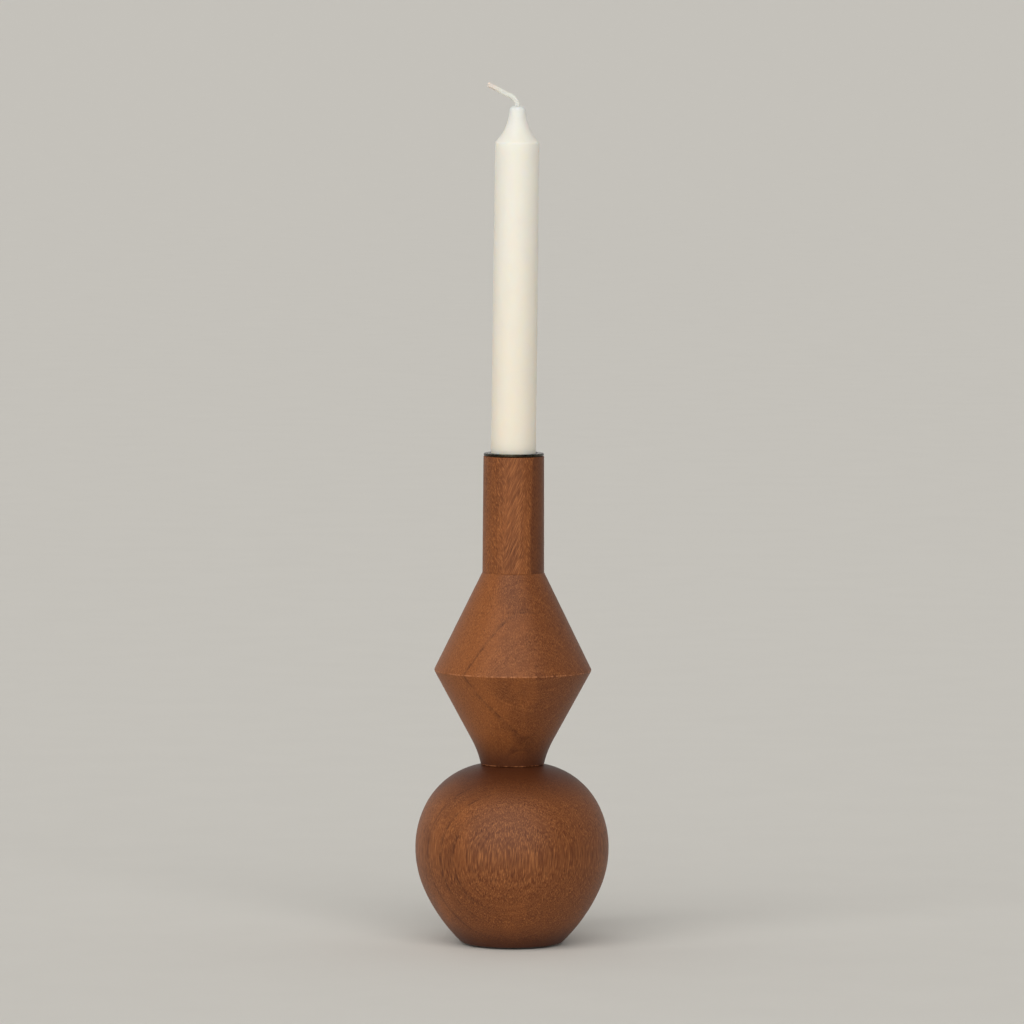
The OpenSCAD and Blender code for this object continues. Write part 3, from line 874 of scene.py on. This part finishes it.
def zinc_plate():
    material, tree, in_mm = new_material("zinc_plated_steel")
    cloud = add(tree, "ShaderNodeTexNoise", in_mm, Scale=1.2, Detail=4.0)
    share = add(tree, "ShaderNodeMapRange", cloud, 0.35, 0.65, **SMOOTH)
    colour = add(tree, "ShaderNodeMix", share, linear("#b3aea0"), linear("#cfcabb"), **COLOUR)
    rough = add(tree, "ShaderNodeMapRange", cloud, 0.3, 0.7, 0.28, 0.42)
    bump = add(tree, "ShaderNodeBump", Height=cloud, Strength=0.2, Distance=0.02 * MM)
    surface = add(
        tree, "ShaderNodeBsdfPrincipled", Base_Color=colour, Metallic=1.0, Roughness=rough, Normal=bump,
    )
    add(tree, "ShaderNodeOutputMaterial", surface)
    return material


def dress(node, material):
    """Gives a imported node's object a better material."""
    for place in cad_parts[node].material_slots:
        place.material = material
    print(f"{node}: {material.name}")


beech = planed_beech()
dress("base_dowel", beech)
dress("neck_dowel", beech)
dress("cup_screw", zinc_plate())

# %% [markdown]
# ## What moves with what
#
# The candle and its wick lift out together. Everything else stands on the foot. Each new piece hides the
# imported piece it stands for.

# %% Ride and replace
for piece, body, node, finish in (
    (felt_glide, "stand", "foot_felt", "felt"),
    (turned_ball, "stand", "base_ball", "stained_hardwood"),
    (turned_diamond, "stand", "diamond", "stained_hardwood"),
    (turned_neck, "stand", "neck", "stained_hardwood"),
    (pressed_cup, "stand", "candle_cup", "blackened_steel"),
    (drawn_candle, "candle_and_wick", "candle", "candle_wax"),
    (plaited_wick, "candle_and_wick", "wick", "cotton_wick"),
):
    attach(piece, body)
    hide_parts(node)
    print(f"{piece.name} rides on {body} and stands for {node}")

# %% [markdown]
# ## Floor and light
#
# A pale floor that runs far back, and light from very wide soft sources: a satin finish shows its form by
# what it reflects, and a wide source gives it a broad glow in place of a hard spot. A sun with a large angle
# is such a source, and it lights the whole floor evenly. The main one stands in front and above, a little to
# the left. Two weaker ones behind, to the left and to the right, draw the pale rims along the outline.

# %% The floor
def pale_floor():
    material, tree, in_mm = new_material("pale_floor")
    grain = add(tree, "ShaderNodeTexNoise", in_mm, Scale=0.02, Detail=3.0)
    colour = add(tree, "ShaderNodeMix", grain, linear("#dbd8d2"), linear("#dfdcd6"), **COLOUR)
    surface = add(tree, "ShaderNodeBsdfPrincipled", Base_Color=colour, Roughness=0.9)
    add(tree, "ShaderNodeOutputMaterial", surface)
    return material


FLOOR_HALF = 90.0
floor_mesh = bpy.data.meshes.new("floor")
corners = [(x * FLOOR_HALF, y * FLOOR_HALF, 0) for x, y in ((-1, -1), (1, -1), (1, 1), (-1, 1))]
floor_mesh.from_pydata(corners, [], [(0, 1, 2, 3)])
floor_mesh.materials.append(pale_floor())
floor = bpy.data.objects.new("floor", floor_mesh)
bpy.context.scene.collection.objects.link(floor)
print(f"the floor is {2 * FLOOR_HALF:.0f} m across")


# %% The lights
def soft_source(name, around, above, strength, spread, colour):
    """A wide soft source `around` degrees from the front, `above` degrees up and `spread` degrees wide."""
    lamp = bpy.data.lights.new(name, "SUN")
    lamp.energy = strength
    lamp.angle = math.radians(spread)
    lamp.color = linear(colour)[:3]
    holder = bpy.data.objects.new(name, lamp)
    bpy.context.scene.collection.objects.link(holder)
    turn = math.radians(around)
    up = math.radians(above)
    away = Vector((math.sin(turn) * math.cos(up), -math.cos(turn) * math.cos(up), math.sin(up)))
    holder.rotation_euler = away.to_track_quat("Z", "Y").to_euler()
    print(f"{name}: {above} degrees up, {spread} degrees wide")


soft_source("front_source", -9, 23, 3.3, 90, "#fffefb")
soft_source("left_back_source", -130, 12, 0.9, 100, "#fffdf8")
soft_source("right_back_source", 130, 12, 0.7, 100, "#fffdf8")

surround = bpy.data.worlds.new("surround")
surround.use_nodes = True
surround.node_tree.nodes["Background"].inputs["Color"].default_value = linear("#e6e6e6")
surround.node_tree.nodes["Background"].inputs["Strength"].default_value = 0.18
bpy.context.scene.world = surround
bpy.context.scene.view_settings.view_transform = "Standard"

# %% [markdown]
# ## Camera
#
# The camera stands 3.7 m away and half a metre up, and looks slightly down with a long lens. It is rolled by
# a quarter of a degree.

# %% The camera
CAMERA_AWAY = 3.67
CAMERA_UP = 0.4945
CAMERA_SIDE = -0.00075
SIGHT_DROP = 0.28135  # how far the line of sight drops on its way to the turned axis
LOOK_DOWN = math.degrees(math.atan(SIGHT_DROP / CAMERA_AWAY))
ROLL = 0.26
LENS = 263.7

lens = bpy.data.cameras.new("camera")
lens.lens = LENS
lens.sensor_width = 36
lens.clip_end = 300
camera = bpy.data.objects.new("camera", lens)
bpy.context.scene.collection.objects.link(camera)
view = Matrix.Rotation(math.radians(90 - LOOK_DOWN), 4, "X") @ Matrix.Rotation(math.radians(ROLL), 4, "Z")
camera.matrix_world = Matrix.Translation((CAMERA_SIDE, -CAMERA_AWAY, CAMERA_UP)) @ view
bpy.context.scene.camera = camera
print(f"the camera looks down by {LOOK_DOWN:.2f} degrees")
